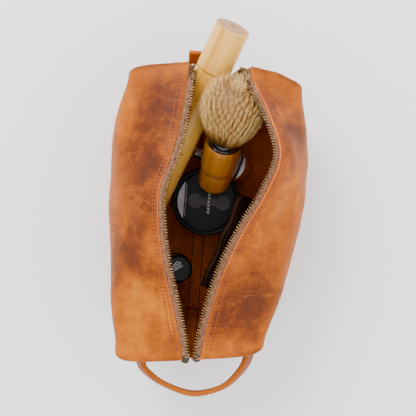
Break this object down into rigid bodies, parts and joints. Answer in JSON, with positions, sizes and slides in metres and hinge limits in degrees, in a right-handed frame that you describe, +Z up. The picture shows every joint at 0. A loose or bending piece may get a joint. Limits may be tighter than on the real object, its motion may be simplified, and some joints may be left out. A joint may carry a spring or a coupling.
{
  "type": "shaving kit bag",
  "caption": "Open leather shaving kit bag with a zipped top, a loop handle and wet shaving tools inside: brush, tube, tin, bottle, razor and sheath.",
  "frame": {"origin": "middle of the flat bottom, on the surface the bag stands on", "axes": "+Z up, +Y along the bag to its rear, +X to the right seen from above with the rear away"},
  "size_m": [0.1568, 0.3025, 0.1538],
  "materials": {
    "bag_leather": "oiled pull-up leather",
    "strap_leather": "smooth bridle leather",
    "sheath_leather": "dark waxed leather",
    "zip_tape": "woven cotton tape",
    "zip_brass": "antique brass",
    "bamboo": "sanded bamboo",
    "brush_wood": "oiled hardwood",
    "ring_plastic": "polished black resin",
    "bristle": "natural bristle",
    "nylon": "nylon tufts",
    "tin_enamel": "satin black lacquer",
    "balm": "soft wax",
    "bottle_glass": "dark amber glass",
    "cap_plastic": "ribbed black plastic",
    "razor_chrome": "bright chrome plate",
    "blade_steel": "honed steel"
  },
  "bodies": {
    "bag": {"left_bottom": "bag_leather", "left_side": "bag_leather", "left_top": "bag_leather", "left_front": "bag_leather", "left_rear": "bag_leather", "right_bottom": "bag_leather", "right_side": "bag_leather", "right_top": "bag_leather", "right_front": "bag_leather", "right_rear": "bag_leather", "left_zip_tape": "zip_tape", "right_zip_tape": "zip_tape", "left_zip_teeth": "zip_brass", "right_zip_teeth": "zip_brass", "closed_zip_chain": "zip_brass", "zip_bottom_stop": "zip_brass", "strap_anchors": "strap_leather", "leather_sheath": "sheath_leather", "tin_base": "tin_enamel", "balm": "balm", "razor_cap": "razor_chrome", "razor_plate": "razor_chrome", "razor_blade": "blade_steel"},
    "slider": {"zip_slider": "zip_brass"},
    "pull": {"zip_pull_ring": "zip_brass", "zip_pull": "bag_leather"},
    "strap": {"carry_strap": "strap_leather"},
    "tube": {"tube_body": "bamboo", "toothbrush": "bamboo"},
    "tube_cap": {"tube_cap": "bamboo"},
    "brush": {"brush_handle": "brush_wood", "brush_ring": "ring_plastic", "brush_knot": "bristle"},
    "tin_lid": {"tin_lid": "tin_enamel"},
    "bottle": {"bottle_body": "bottle_glass"},
    "bottle_cap": {"bottle_cap": "cap_plastic"},
    "razor_handle": {"razor_handle": "razor_chrome"}
  },
  "joints": [
    {"name": "slider_travel", "type": "slide", "parent": "bag", "child": "slider", "axis": [0, 0, -1], "range_m": [0, 0.008]},
    {"name": "pull_flip", "type": "hinge", "parent": "slider", "child": "pull", "pos_m": [-0.0155, 0.11465, 0.0647], "axis": [1, 0, 0], "range_deg": [-135, 0]},
    {"name": "handle_swing", "type": "hinge", "parent": "bag", "child": "strap", "pos_m": [0.003, -0.11975, 0.076], "axis": [0.9926, 0.1212, 0], "range_deg": [-50, 75]},
    {"name": "tube_slide_out", "type": "slide", "parent": "bag", "child": "tube", "axis": [0.3402, 0.8234, 0.4542], "range_m": [0, 0.17]},
    {"name": "tube_cap_pull", "type": "slide", "parent": "tube", "child": "tube_cap", "axis": [0.3402, 0.8234, 0.4542], "range_m": [0, 0.06]},
    {"name": "brush_lift", "type": "slide", "parent": "bag", "child": "brush", "axis": [0.05, -0.4001, 0.9151], "range_m": [0, 0.13]},
    {"name": "tin_lid_turn", "type": "hinge", "parent": "bag", "child": "tin_lid", "pos_m": [0.0024, 0.0095, 0.0024], "axis": [0, 0, 1], "continuous": true},
    {"name": "bottle_lift", "type": "slide", "parent": "bag", "child": "bottle", "axis": [0.1999, 0.1, 0.9747], "range_m": [0, 0.085]},
    {"name": "bottle_cap_turn", "type": "hinge", "parent": "bottle", "child": "bottle_cap", "pos_m": [-0.024, -0.0515, 0.0044], "axis": [0.1201, 0.0601, 0.9909], "continuous": true},
    {"name": "razor_handle_turn", "type": "hinge", "parent": "bag", "child": "razor_handle", "pos_m": [0.032, 0.04, 0.025], "axis": [0.944, -0.2697, 0.1898], "continuous": true}
  ]
}
